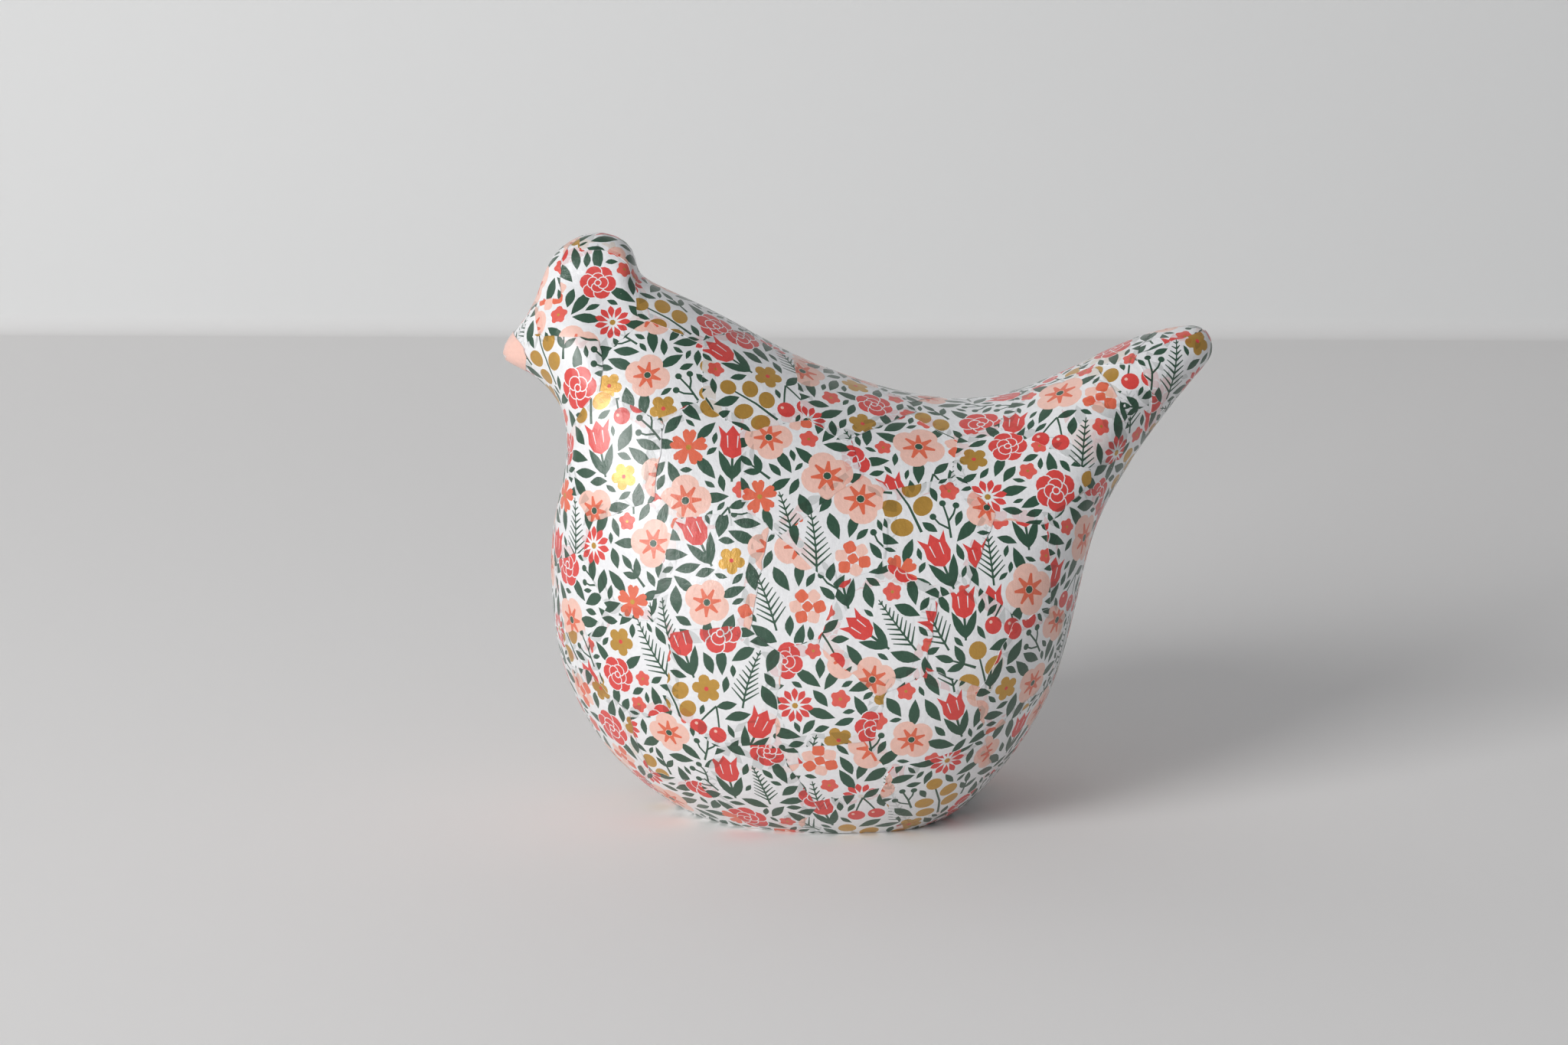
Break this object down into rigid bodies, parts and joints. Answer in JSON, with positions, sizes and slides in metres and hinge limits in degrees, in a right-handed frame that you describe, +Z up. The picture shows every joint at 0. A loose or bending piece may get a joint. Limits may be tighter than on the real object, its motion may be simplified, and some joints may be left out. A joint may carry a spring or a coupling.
{
  "type": "hen figurine",
  "caption": "Rounded decorative hen figurine with a small comb, a scooped back and an upswept tail, covered in varnished floral paper, standing on a flat underside.",
  "frame": {"origin": "on the surface the hen stands on, under the middle of its length and width", "axes": "+X from the beak towards the tail, +Z up, +Y to the side; the hen looks along -X"},
  "size_m": [0.1998, 0.1122, 0.1656],
  "materials": {
    "varnished_paper": "white floral paper pasted on in overlapping pieces and varnished to a satin gloss"
  },
  "bodies": {
    "root": {"hen": "varnished_paper"}
  },
  "joints": []
}
